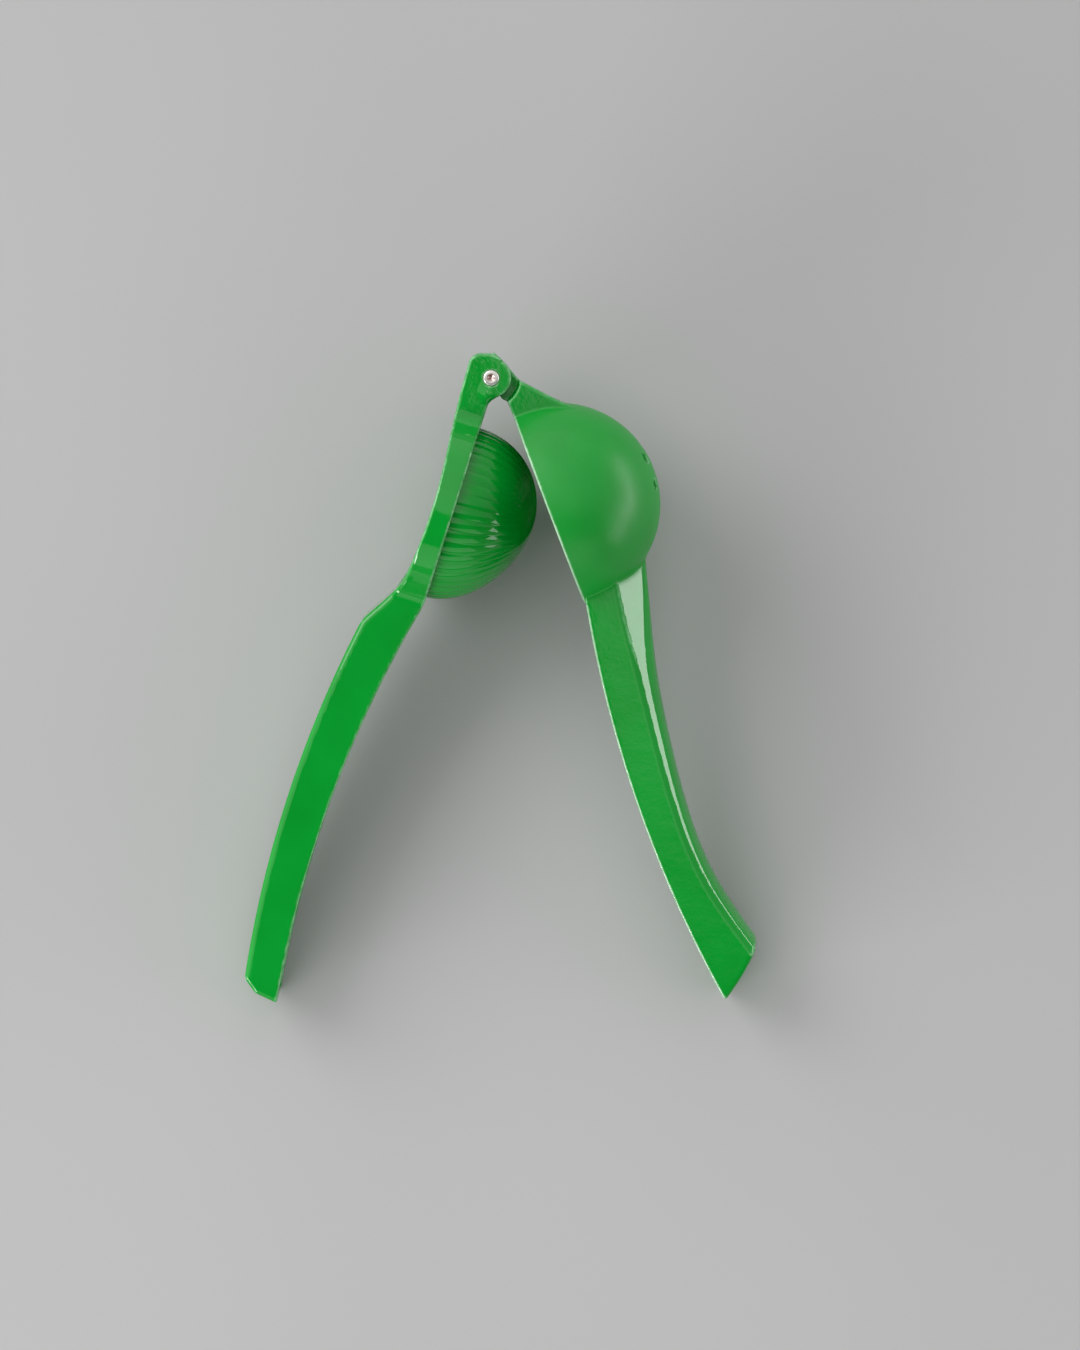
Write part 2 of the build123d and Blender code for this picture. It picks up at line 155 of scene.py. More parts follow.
def past(x, y, a, b):
    """Distance past the line through two points, below zero on the pin's side of it."""
    length = hypot(b[0] - a[0], b[1] - a[1])
    ax, ay = (b[0] - a[0]) / length, (b[1] - a[1]) / length
    side = 1 if a[0] * ay < a[1] * ax else -1
    return ((x - a[0]) * ay - (y - a[1]) * ax) * -side


def past_bulge(x, y, corner, tip, bulge):
    """Distance past a handle's slightly bulging end, below zero on the pin's side of it."""
    length = hypot(tip[0] - corner[0], tip[1] - corner[1])
    ax, ay = (tip[0] - corner[0]) / length, (tip[1] - corner[1]) / length
    t = ((x - corner[0]) * ax + (y - corner[1]) * ay) / length * 2 - 1
    return (past(x, y, corner, tip) - bulge * (1 - t * t)) / np.sqrt(1 + (4 * bulge * t / length) ** 2)


def smooth_line(stations):
    """Cubic line through stations, sampled finely: places, heights and slopes."""
    xs, ys = np.array(stations, float).T
    n, h = len(xs), np.diff(xs)
    rows, right = np.eye(n), np.zeros(n)
    for i in range(1, n - 1):
        rows[i, i - 1:i + 2] = h[i - 1], 2 * (h[i - 1] + h[i]), h[i]
        right[i] = 6 * ((ys[i + 1] - ys[i]) / h[i] - (ys[i] - ys[i - 1]) / h[i - 1])
    bend = np.linalg.solve(rows, right)
    fine = np.linspace(xs[0], xs[-1], 6000)
    i = np.clip(np.searchsorted(xs, fine) - 1, 0, n - 2)
    b, a = (fine - xs[i]) / h[i], (xs[i + 1] - fine) / h[i]
    line = a * ys[i] + b * ys[i + 1] + ((a**3 - a) * bend[i] + (b**3 - b) * bend[i + 1]) * h[i] ** 2 / 6
    return fine, line, np.gradient(line, fine)


CROWN_LINE = smooth_line([(x, top) for x, top, drop, r in CROWN])
CROWN_DROP = smooth_line([(x, drop) for x, top, drop, r in CROWN])
CROWN_R = smooth_line([(x, r) for x, top, drop, r in CROWN])


def under_crown(x, y, z):
    """Distance to the bowl arm's crown, whose round top runs into two slanting flats, below zero under it."""
    top, slope = np.interp(x, CROWN_LINE[0], CROWN_LINE[1]), np.interp(x, CROWN_LINE[0], CROWN_LINE[2])
    drop, r = np.interp(x, CROWN_DROP[0], CROWN_DROP[1]), np.interp(x, CROWN_R[0], CROWN_R[1])
    c, s = cos(radians(CROWN_SLANT)), sin(radians(CROWN_SLANT))
    up, side = (y - top) / np.sqrt(1 + slope**2), np.abs(z)
    flat = (side - HALF_W) * c + (up + drop) * s
    round_top = np.where(side * s > (up + r) * c, side * c + (up + r) * s, np.hypot(side, up + r)) - r
    return meet(flat, round_top, CROWN_RIDGE_R)


# ---- Bowl arm ----

def bowl_arm_form(x, y, z):
    """Bowl, neck, tongue and channel handle of the bowl arm."""
    from_middle = np.hypot(np.hypot(x - BOWL_X, z), np.maximum(y - BOWL_Y, 0))
    from_pin = np.hypot(x, y)
    side = np.abs(z)
    back = (y - NECK_Y - (x - NECK_X) * NECK_SLOPE) / hypot(1, NECK_SLOPE)
    neck = meet(meet(back, SHOULDER_R - from_pin, NECK_CORNER_R), side - NECK_HALF, NECK_EDGE_R)
    neck = np.maximum(neck, x - BOWL_X + BOWL_R_IN - NECK_INTO_BOWL)
    head = join(from_middle - BOWL_R, neck, BOWL_NECK_R)
    head = meet(head, RIM_Y - y, BOWL_RIM_R)
    tongue = np.minimum(from_pin - TONGUE_NOSE_R, plain_outline(x, y, TONGUE))
    head = join(head, meet(tongue, side - TONGUE_HALF, TONGUE_EDGE_R), TONGUE_ROOT_R)

    crown = under_crown(x, y, z)
    tip = (TIP_X, arc_height(TIP_X, BOWL_EDGE))
    end = past_bulge(x, y, BOWL_END[0], tip, BOWL_END[1])
    outside = meet(crown, side - HALF_W, CROWN_EDGE_R)
    outside = meet(meet(outside, above_arc(x, y, BOWL_EDGE), INNER_EDGE_R), end, BOWL_END_R)
    hollow = meet(meet(crown + WALL, side - HALF_W + WALL, HOLLOW_CORNER_R), end + WALL, HOLLOW_END_R)
    handle = np.maximum(cut(outside, hollow, CUT_EDGE_R), BOWL_X + HANDLE_ROOT_AT * DOME_R - x)

    arm = join(head, handle, HANDLE_ROOT_R)
    arm = cut(arm, from_middle - BOWL_R_IN, CUT_EDGE_R)
    arm = cut(arm, from_pin - PIN_R - PIN_GAP, BORE_EDGE_R)
    for dx, dz in HOLES:
        hole = np.maximum(np.hypot(x - BOWL_X - dx, z - dz) - HOLE_R, BOWL_Y - y)
        arm = cut(arm, hole, HOLE_EDGE_R)
    return arm


HOLE_TURNS = [2 * pi * k / HOLE_COUNT for k in range(HOLE_COUNT)]
HOLES = [(0.0, 0.0)] + [(HOLE_RING_R * cos(turn), HOLE_RING_R * sin(turn)) for turn in HOLE_TURNS]


# ---- Press arm ----

def hermite(start, stop, start_way, stop_way, count):
    """Points of a cubic curve that leaves start along start_way and reaches stop along stop_way."""
    start, stop = np.array(start), np.array(stop)
    chord = np.linalg.norm(stop - start)
    u, v = (np.array(way) / np.linalg.norm(way) * chord for way in (start_way, stop_way))
    t = np.linspace(0, 1, count)[:, None]
    return ((2 * t**3 - 3 * t**2 + 1) * start + (t**3 - 2 * t**2 + t) * u
            + (3 * t**2 - 2 * t**3) * stop + (t**3 - t**2) * v)


def back_line():
    """Back of the press arm from the ears over the ring to the handle's shoulder."""
    shoulder = (SHOULDER_X, arc_height(SHOULDER_X, PRESS_CROWN))
    head_end = (DOME_X + RING_REACH, -RING_BACK - RING_DIP)
    slope = hermite(shoulder, head_end, (-1, SHOULDER_SLOPE), (-1, HEAD_SLOPE), 3000)[::-1]
    across = np.linspace(DOME_X - RING_REACH, DOME_X + RING_REACH, 3000)
    r = (RING_REACH**2 + RING_DIP**2) / (2 * RING_DIP)
    ring = -RING_BACK - r + np.sqrt(r * r - (across - DOME_X) ** 2)
    (x1, y1), (x2, y2), (x3, y3) = EAR_BACK
    ear_slope = (y3 - EAR_CORNER[1]) / (x3 - EAR_CORNER[0])
    ear = np.linspace(x3, x1, 2000)
    ears = (y1 * (ear - x2) * (ear - x3) / ((x1 - x2) * (x1 - x3))
            + y2 * (ear - x1) * (ear - x3) / ((x2 - x1) * (x2 - x3))
            + y3 * (ear - x1) * (ear - x2) / ((x3 - x1) * (x3 - x2)))
    beyond = (shoulder[0] + 60, shoulder[1] - 60 * SHOULDER_SLOPE)
    xs = np.concatenate([[x3 - 60], ear[:-1], across[:-1], slope[:, 0], [beyond[0]]])
    ys = np.concatenate([[y3 - 60 * ear_slope], ears[:-1], ring[:-1], slope[:, 1], [beyond[1]]])
    fine = np.linspace(xs[0], xs[-1], 12000)
    line = np.interp(fine, xs, ys)
    width = 15
    weights = np.hanning(width + 2)[1:-1]
    soft = np.convolve(np.pad(line, width // 2, mode="edge"), weights / weights.sum(), mode="valid")
    return fine, soft, np.gradient(soft, fine)


BACK_LINE = back_line()


def circle_through(a, b, c):
    """Centre and radius of the circle through three points."""
    rows = np.array([[2 * (q[0] - a[0]), 2 * (q[1] - a[1])] for q in (b, c)])
    right = np.array([q[0] ** 2 + q[1] ** 2 - a[0] ** 2 - a[1] ** 2 for q in (b, c)])
    centre = np.linalg.solve(rows, right)
    return centre[0], centre[1], hypot(centre[0] - a[0], centre[1] - a[1])


NOSE = circle_through(EAR_END, EAR_NOSE, (EAR_NOSE_R * cos(radians(150)), EAR_NOSE_R * sin(radians(150))))


def press_arm_form(x, y, z):
    """Ears, ring and channel handle of the press arm, open where the dome rises."""
    side = np.abs(z)
    from_pin = np.hypot(x, y)
    from_axis = np.hypot(x - DOME_X, z)
    crown = above_arc(np.maximum(x, HEAD_END_X), y, PRESS_CROWN)
    line, slope = np.interp(x, BACK_LINE[0], BACK_LINE[1]), np.interp(x, BACK_LINE[0], BACK_LINE[2])
    back = (line - y) / np.sqrt(1 + slope**2)
    nose = np.minimum(np.hypot(x - NOSE[0], y - NOSE[1]) - NOSE[2], np.minimum(NOSE[0] - x, y - EAR_END[1]))
    ear_end = np.maximum(nose, past(x, y, EAR_CORNER, EAR_END))
    corner = (PRESS_CORNER_X, arc_height(PRESS_CORNER_X, PRESS_CROWN))
    tip = (PRESS_TIP_X, arc_height(PRESS_TIP_X, PRESS_EDGE))
    slanting, last = past(x, y, corner, PRESS_KNEE), past(x, y, PRESS_KNEE, tip)
    end = meet(slanting, last, PRESS_KNEE_R)
    outer_side = meet(meet(meet(crown, back, PRESS_BACK_R), ear_end, EAR_CORNER_R), end, PRESS_END_R)

    ears = np.maximum(side - EAR_OUTER, x - DOME_X)
    root = np.maximum(side - HALF_W, DOME_X - x)
    plan = join(join(from_axis - RING_R, ears, PLAN_FILLET), root, PLAN_FILLET)
    rounding = RING_EDGE_R + HANDLE_EXTRA_R * np.clip((x - 60) / 20, 0, 1)
    body = meet(plan, outer_side, rounding)
    inner_side = meet(y - FACE_Y, -above_arc(x, y, PRESS_EDGE), PRESS_FACE_R)
    body = meet(body, inner_side, CUT_EDGE_R)
    ear_round = meet(from_pin - EAR_NOSE_R, side - EAR_OUTER, RING_EDGE_R)
    body = join(body, ear_round, 0.1 + 2.6 * np.clip((x - 1.5) / 3, 0, 1) * np.clip((y + 3) / 3, 0, 1))

    (ax, ay), (bx, by) = HOLLOW_START
    length = hypot(bx - ax, by - ay)
    above_slope = ((x - ax) * (by - ay) - (y - ay) * (bx - ax)) / length
    inner_end = meet(slanting + WALL, last + WALL, PRESS_KNEE_R)
    hollow = meet(meet(crown + WALL, above_slope, HOLLOW_SLOPE_R), inner_end, HOLLOW_END_R)
    hollow = meet(meet(hollow, HOLLOW_X - x, PRESS_HOLLOW_R), side - HALF_W + WALL, HOLLOW_CORNER_R)
    body = cut(body, hollow, CUT_EDGE_R)

    under_plate = meet(from_axis - RING_R + RING_WALL, y - FACE_Y + PLATE, PRESS_HOLLOW_R)
    body = cut(body, under_plate, CUT_EDGE_R)
    body = cut(body, from_axis - DOME_R + DOME_WALL - DOME_OVERLAP, DOME_SEAM_R)
    room = np.minimum(from_pin - SLOT_R, x)
    web = np.maximum(WEB_X - x, y + WEB_DEPTH)
    slot = meet(cut(room, web, SLOT_WEB_R), side - EAR_INNER, SLOT_SIDE_R)
    body = cut(body, slot, SLOT_EDGE_R)
    return cut(body, from_pin - PIN_R, BORE_EDGE_R)


# ---- Skinning a form ----

CORNERS = np.array([(i, j, k) for i in (0, 1) for j in (0, 1) for k in (0, 1)])
CELL_EDGES = np.array([(a, b) for a in range(8) for b in range(a + 1, 8)
                       if np.abs(CORNERS[a] - CORNERS[b]).sum() == 1])


def slope_of(form, p):
    """Direction in which a form's distance grows, at each point, and the distance itself."""
    step = 0.02
    way = np.empty_like(p)
    for axis in range(3):
        shift = np.zeros(3)
        shift[axis] = step
        ahead, behind = p + shift, p - shift
        way[:, axis] = (form(*ahead.T) - form(*behind.T)) / (2 * step)
    return form(*p.T), way


def onto_surface(form, p, rounds):
    """Points moved onto a form's surface."""
    for _ in range(rounds):
        distance, way = slope_of(form, p)
        size = np.maximum((way**2).sum(1), 0.05)
        p = p - np.clip(distance / size, -0.4, 0.4)[:, None] * way
    return p


def evened(p, quads):
    """Points moved towards the middle of their neighbours, to even out the mesh."""
    ends = np.concatenate([quads[:, [i, (i + 1) % 4]] for i in range(4)])
    count = np.maximum(sum(np.bincount(ends[:, i], minlength=len(p)) for i in (0, 1)), 1)
    middle = np.empty_like(p)
    for axis in range(3):
        middle[:, axis] = (np.bincount(ends[:, 0], p[ends[:, 1], axis], len(p))
                           + np.bincount(ends[:, 1], p[ends[:, 0], axis], len(p))) / count
    return p + 0.5 * (middle - p)


def skin(form, xs, ys, zs):
    """Points, quads and outward directions of a form's surface, found on a grid of cells."""
    value = form(xs[:, None, None], ys[None, :, None], zs[None, None, :])
    full = value < 0
    nx, ny, nz = full.shape
    count = sum(full[i:nx - 1 + i, j:ny - 1 + j, k:nz - 1 + k].astype(np.int8) for i, j, k in CORNERS)
    cell = (count > 0) & (count < 8)
    number = np.full(cell.shape, -1, np.int64)
    number[cell] = np.arange(cell.sum())
    at = np.stack(np.nonzero(cell), 1)
    spots = at[:, None, :] + CORNERS[None]
    places = np.stack([xs[spots[..., 0]], ys[spots[..., 1]], zs[spots[..., 2]]], -1)
    values = value[spots[..., 0], spots[..., 1], spots[..., 2]]
    a, b = values[:, CELL_EDGES[:, 0]], values[:, CELL_EDGES[:, 1]]
    crossed = (a < 0) != (b < 0)
    share = np.where(crossed, a / np.where(crossed, a - b, 1), 0)[..., None]
    start, stop = places[:, CELL_EDGES[:, 0]], places[:, CELL_EDGES[:, 1]]
    points = ((start + share * (stop - start)) * crossed[..., None]).sum(1) / crossed.sum(1)[:, None]
    quads = []
    for axis in range(3):
        u, v = (axis + 1) % 3, (axis + 2) % 3
        low = [slice(1, -1)] * 3
        high = [slice(1, -1)] * 3
        low[axis], high[axis] = slice(0, -1), slice(1, None)
        first, second = full[tuple(low)], full[tuple(high)]
        spot = np.stack(np.nonzero(first != second), 1)
        outward = first[tuple(spot.T)]
        spot[:, u] += 1
        spot[:, v] += 1
        ring = []
        for du, dv in ((-1, -1), (0, -1), (0, 0), (-1, 0)):
            c = spot.copy()
            c[:, u] += du
            c[:, v] += dv
            ring.append(number[tuple(c.T)])
        quad = np.stack(ring, 1)
        quads.append(np.where(outward[:, None], quad, quad[:, ::-1]))
    quads = np.concatenate(quads)
    points = onto_surface(form, points, 3)
    for _ in range(2):
        points = onto_surface(form, evened(points, quads), 2)
    distance, way = slope_of(form, points)
    return points, quads, way / np.maximum(np.linalg.norm(way, axis=1), 1e-6)[:, None]


def steps(*runs):
    """Grid lines from runs of (start, stop, step)."""
    lines = [np.linspace(a, b, max(int(round((b - a) / s)), 1), endpoint=False) for a, b, s in runs]
    return np.concatenate(lines + [[runs[-1][1]]])


EDGE_TURN_REACH = 0.5


def edge_turn(form, p):
    """How sharply a form's surface turns outwards at each point, from 0 on flats to 1 on the edges."""
    reach = EDGE_TURN_REACH
    turn = -6 * form(*p.T)
    for shift in np.concatenate([np.eye(3), -np.eye(3)]) * reach:
        turn += form(*(p + shift).T)
    return np.clip((turn / reach**2 - 0.8) / 0.7, 0, 1)


def casting(name, form, xs, ys, zs, place, material, marks=()):
    """Mesh object of a casting, in its place, with named marks that its material reads."""
    points, quads, out = skin(form, xs, ys, zs)
    mesh = bpy.data.meshes.new(name)
    mesh.vertices.add(len(points))
    mesh.loops.add(quads.size)
    mesh.polygons.add(len(quads))
    mesh.vertices.foreach_set("co", (points * MM).astype(np.float32).ravel())
    mesh.loops.foreach_set("vertex_index", quads.astype(np.int32).ravel())
    mesh.polygons.foreach_set("loop_start", np.arange(0, quads.size, 4, dtype=np.int32))
    mesh.update(calc_edges=True)
    mesh.validate()
    mesh.polygons.foreach_set("use_smooth", np.ones(len(mesh.polygons), bool))
    for mark, value in [("edge_turn", edge_turn(form, points))] + [(m, f(*points.T)) for m, f in marks]:
        mesh.attributes.new(mark, "FLOAT", "POINT").data.foreach_set("value", value.astype(np.float32))
    mesh.transform(place)
    turn = np.array(place.to_3x3())
    mesh.normals_split_custom_set_from_vertices((out @ turn.T).tolist())
    mesh.materials.append(material)
    piece = bpy.data.objects.new(name, mesh)
    bpy.context.scene.collection.objects.link(piece)
    print(name, len(mesh.vertices), "points,", 2 * len(mesh.polygons), "triangles")
    return piece


# Reach of the painted highlight line behind the rim, and fade of the bowl's duller coat
RIM_SHEEN_REACH, DULL_FADE = 5.0, 2.0


def bowl_dullness(x, y, z):
    """The bowl is duller than the handle, which hands keep bright."""
    from_middle = np.hypot(np.hypot(x - BOWL_X, z), np.maximum(y - BOWL_Y, 0))
    return np.clip((BOWL_R + DULL_FADE - from_middle) / DULL_FADE, 0, 1)


def rim_nearness(x, y, z):
    """The set reach less the depth behind the bowl's rim or the handle's inner edge; the material paints a
    highlight line where this comes near the reach, just behind the edge.
    """
    depth = np.where(x < BOWL_X + BOWL_R, y - RIM_Y, -above_arc(x, y, BOWL_EDGE))
    return np.where(x < BOWL_X - BOWL_R, 0, np.clip(RIM_SHEEN_REACH - depth, 0, RIM_SHEEN_REACH))


# ---- Materials ----

def new_material(name):
    material = bpy.data.materials.new(name)
    material.use_nodes = True
    material.node_tree.nodes.clear()
    return material, material.node_tree


class Wiring:
    """Short way to add nodes to a tree and link them."""

    def __init__(self, tree):
        self.tree = tree

    def node(self, kind, inputs=(), **settings):
        made = self.tree.nodes.new(kind)
        for key, value in settings.items():
            setattr(made, key, value)
        for key, value in dict(inputs).items():
            if isinstance(value, bpy.types.NodeSocket):
                self.tree.links.new(value, made.inputs[key])
            else:
                made.inputs[key].default_value = value
        return made

    def math(self, operation, *values):
        return self.node("ShaderNodeMath", dict(enumerate(values)), operation=operation).outputs[0]

    def noise(self, where, scale, detail=2.0, roughness=0.5):
        return self.node("ShaderNodeTexNoise", {"Vector": where, "Scale": scale, "Detail": detail,
                                                "Roughness": roughness}).outputs["Fac"]

    def spread(self, value, low, high, to_low, to_high):
        return self.node("ShaderNodeMapRange", {0: value, 1: low, 2: high, 3: to_low, 4: to_high}).outputs[0]

    def blend(self, share, first, second):
        made = self.node("ShaderNodeMix", data_type="RGBA")
        for key, value in ((0, share), (6, first), (7, second)):
            if isinstance(value, bpy.types.NodeSocket):
                self.tree.links.new(value, made.inputs[key])
            else:
                made.inputs[key].default_value = value
        return made.outputs[2]


def enamel():
    """Glossy green enamel, poured a little unevenly over cast metal, lighter on the edges where it is thinner
    and where a highlight is painted, with a painted highlight line along the bowl's rim and the handle's
    inner edge.
    """
    material, tree = new_material("green_enamel_coat")
    w = Wiring(tree)
    where = w.node("ShaderNodeTexCoord").outputs["Object"]
    cloud = w.noise(where, 38, 3)
    speck = w.noise(where, 1500, 2)
    swell = w.noise(where, 160, 2)
    peel = w.noise(where, 900, 2)
    green = w.blend(w.spread(cloud, 0.35, 0.65, 0, 1), (0.0005, 0.275, 0.020, 1), (0.001, 0.315, 0.027, 1))
    green = w.blend(w.spread(speck, 0.62, 0.8, 0, 0.35), green, (0.001, 0.20, 0.012, 1))
    # Lighter green on sharp edges: partly thinner enamel, partly a painted edge highlight.
    edge_sharpness = w.node("ShaderNodeAttribute", attribute_name="edge_turn").outputs["Fac"]
    patch = w.noise(where, 420, 3)
    thin_coat_and_edge_sheen = w.math("MULTIPLY", w.spread(edge_sharpness, 0.1, 0.7, 0, 1), w.spread(patch, 0.40, 0.60, 0.35, 0.9))
    green = w.blend(thin_coat_and_edge_sheen, green, (0.18, 0.52, 0.22, 1))
    # Painted highlight: a thin pale line just behind the bowl's rim and the handle's inner edge, broken up by
    # the patch noise.
    near = w.node("ShaderNodeAttribute", attribute_name="rim_nearness").outputs["Fac"]
    rim_sheen = w.math("MULTIPLY", w.spread(near, RIM_SHEEN_REACH - 0.75, RIM_SHEEN_REACH - 0.4, 0, 1),
                    w.spread(near, RIM_SHEEN_REACH - 0.15, RIM_SHEEN_REACH - 0.03, 1, 0))
    rim_sheen = w.math("MULTIPLY", rim_sheen, w.spread(patch, 0.3, 0.7, 0.5, 0.9))
    green = w.blend(rim_sheen, green, (0.46, 0.64, 0.48, 1))
    rough = w.spread(cloud, 0.3, 0.7, 0.24, 0.32)
    dull = w.node("ShaderNodeAttribute", attribute_name="dull").outputs["Fac"]
    coat_rough = w.math("ADD", w.math("MULTIPLY", dull, w.spread(cloud, 0.3, 0.7, 0.28, 0.38)), 0.06)
    swelling = w.node("ShaderNodeBump", {"Strength": 0.07, "Distance": 0.0006, "Height": swell})
    peeling = w.node("ShaderNodeBump", {"Strength": 0.10, "Distance": 0.00012, "Height": peel,
                                        "Normal": swelling.outputs[0]})
    shader = w.node("ShaderNodeBsdfPrincipled", {"Base Color": green, "Roughness": rough,
                                                 "Specular IOR Level": 0.0,
                                                 "Normal": peeling.outputs[0], "Coat Weight": 1.0,
                                                 "Coat Roughness": coat_rough, "Coat IOR": 1.5,
                                                 "Coat Normal": peeling.outputs[0]})
    w.node("ShaderNodeOutputMaterial", {"Surface": shader.outputs[0]})
    return material


def steel():
    """Bright turned steel of the pin, tarnished brown in the dimples."""
    material, tree = new_material("pin_steel_turned")
    w = Wiring(tree)
    where = w.node("ShaderNodeTexCoord").outputs["Object"]
    tint = w.spread(w.noise(where, 700, 3), 0.3, 0.7, 0, 1)
    colour = w.blend(tint, (0.86, 0.84, 0.80, 1), (0.74, 0.71, 0.66, 1))
    from_place = w.node("ShaderNodeVectorMath", {0: where, 1: tuple(PIN_PLACE * MM)},
                        operation="SUBTRACT").outputs[0]
    across = w.node("ShaderNodeVectorMath", {0: from_place, 1: tuple(PIN_LINE)},
                    operation="CROSS_PRODUCT").outputs[0]
    off_line = w.node("ShaderNodeVectorMath", {0: across}, operation="LENGTH").outputs["Value"]
    stain = w.math("MULTIPLY", w.spread(off_line, 0.0011, 0.0015, 1, 0),
                   w.spread(w.noise(where, 1100, 2), 0.42, 0.58, 0.35, 1))
    colour = w.blend(stain, colour, (0.36, 0.13, 0.12, 1))
    scratch = w.noise(where, 2600, 3)
    rough = w.spread(scratch, 0.3, 0.7, 0.30, 0.48)
    bump = w.node("ShaderNodeBump", {"Strength": 0.25, "Distance": 0.00003, "Height": scratch})
    shader = w.node("ShaderNodeBsdfPrincipled", {"Base Color": colour, "Metallic": 1.0, "Roughness": rough,
                                                 "Normal": bump.outputs[0]})
    w.node("ShaderNodeOutputMaterial", {"Surface": shader.outputs[0]})
    return material


green_enamel = enamel()
pin_steel = steel()

# ---- Castings ----
bowl_place, press_place = arm_place(BOWL_ARM_ANGLE), arm_place(PRESS_ARM_ANGLE)
cell = 0.62
bowl_casting = casting(
    "bowl_arm_casting", bowl_arm_form,
    steps((-8.83, 82.1, cell), (82.1, 194.1, 1.5 * cell), (194.1, 214.3, cell)),
    steps((-6.37, 39.61, cell)), steps((-34.11, 34.11, cell)), bowl_place, green_enamel,
    (("dull", bowl_dullness), ("rim_nearness", rim_nearness)))
press_casting = casting(
    "press_arm_casting", press_arm_form,
    steps((-9.73, 90.1, 0.9 * cell), (90.1, 200.1, 2 * cell), (200.1, 214.3, 0.9 * cell)),
    steps((-23.07, 8.17, 0.9 * cell)), steps((-32.53, 32.53, 0.9 * cell)), press_place, green_enamel)


# ---- Fluted dome ----

def fluted_dome_tree():
    """Nodes that wrap a grid round into a leaning dome with flutes outside and a smooth hollow inside."""
    tree = bpy.data.node_groups.new("fluted_dome", "GeometryNodeTree")
    sockets = {}
    for name, kind, value in (("Radius", "Float", DOME_R * MM), ("Height", "Float", DOME_H * MM),
                              ("Wall", "Float", DOME_WALL * MM), ("Skirt", "Float", (PLATE - 0.1) * MM),
                              ("Squareness", "Float", DOME_SQUARENESS), ("Lean", "Float", DOME_LEAN * MM),
                              ("Lean Power", "Float", DOME_LEAN_POWER), ("Flutes", "Int", FLUTES),
                              ("Land Radius", "Float", FLUTE_LAND_R * MM), ("Steps per Flute", "Int", 14),
                              ("Levels", "Int", 108), ("Material", "Material", None)):
        socket = tree.interface.new_socket(name, in_out="INPUT", socket_type="NodeSocket" + kind)
        sockets[name] = (socket.identifier, value)
    tree.interface.new_socket("Geometry", in_out="OUTPUT", socket_type="NodeSocketGeometry")
    w = Wiring(tree)
    size = w.node("NodeGroupInput").outputs
    columns = w.math("ADD", w.math("MULTIPLY", size["Flutes"], size["Steps per Flute"]), 1)
    grid = w.node("GeometryNodeMeshGrid", {"Size X": 1.0, "Size Y": 1.0, "Vertices X": columns,
                                           "Vertices Y": size["Levels"]})
    spot = w.node("ShaderNodeSeparateXYZ", {0: w.node("GeometryNodeInputPosition").outputs[0]}).outputs
    round_share = w.math("ADD", spot[0], 0.5)
    level = w.math("MULTIPLY", spot[1], 2.0)
    outer = w.math("GREATER_THAN", level, 0.0)
    reach = w.math("ABSOLUTE", level)
    straight = 0.09
    climb = w.math("MULTIPLY", w.math("MAXIMUM", w.math("SUBTRACT", reach, straight), 0.0),
                   0.5 * pi / (1 - straight))
    left_below = w.math("SUBTRACT", 1.0, w.math("DIVIDE", reach, straight))
    below = w.math("MULTIPLY", w.math("MAXIMUM", left_below, 0.0), size["Skirt"])
    inset = w.math("MULTIPLY", w.math("SUBTRACT", 1.0, outer), size["Wall"])
    power = w.math("DIVIDE", 2.0, size["Squareness"])
    up = w.math("POWER", w.math("SINE", climb), power)
    out = w.math("POWER", w.math("MAXIMUM", w.math("COSINE", climb), 0.0), power)
    height = w.math("MULTIPLY", w.math("SUBTRACT", size["Height"], inset), up)
    radius = w.math("MULTIPLY", w.math("SUBTRACT", size["Radius"], inset), out)
    phase = w.math("FRACT", w.math("MULTIPLY", round_share, size["Flutes"]))
    off_crest = w.math("MULTIPLY", w.math("SUBTRACT", phase, 0.5), w.math("DIVIDE", 2 * pi, size["Flutes"]))
    across = w.math("MULTIPLY", radius, w.math("SINE", off_crest))
    land = size["Land Radius"]
    chord = w.math("SQRT", w.math("SUBTRACT", w.math("MULTIPLY", land, land),
                                  w.math("MULTIPLY", across, across)))
    dip = w.math("MULTIPLY", w.math("SUBTRACT", land, chord), outer)
    radius = w.math("SUBTRACT", radius, dip)
    lean = w.math("MULTIPLY", size["Lean"], w.math("POWER", w.math("DIVIDE", height, size["Height"]),
                                                   size["Lean Power"]))
    angle = w.math("MULTIPLY", round_share, 2 * pi)
    place = w.node("ShaderNodeCombineXYZ", {
        0: w.math("SUBTRACT", w.math("MULTIPLY", radius, w.math("COSINE", angle)), lean),
        1: w.math("SUBTRACT", height, below),
        2: w.math("MULTIPLY", radius, w.math("SINE", angle))}).outputs[0]
    wrapped = w.node("GeometryNodeSetPosition", {"Geometry": grid.outputs["Mesh"], "Position": place})
    closed = w.node("GeometryNodeMergeByDistance", {"Geometry": wrapped.outputs[0], "Distance": 1e-6})
    turned = w.node("GeometryNodeFlipFaces", {"Mesh": closed.outputs[0]})
    plain = w.node("GeometryNodeRealizeInstances", {"Geometry": turned.outputs[0]})
    dressed = w.node("GeometryNodeSetMaterial", {"Geometry": plain.outputs[0], "Material": size["Material"]})
    w.node("NodeGroupOutput", {0: dressed.outputs[0]})
    return tree, sockets


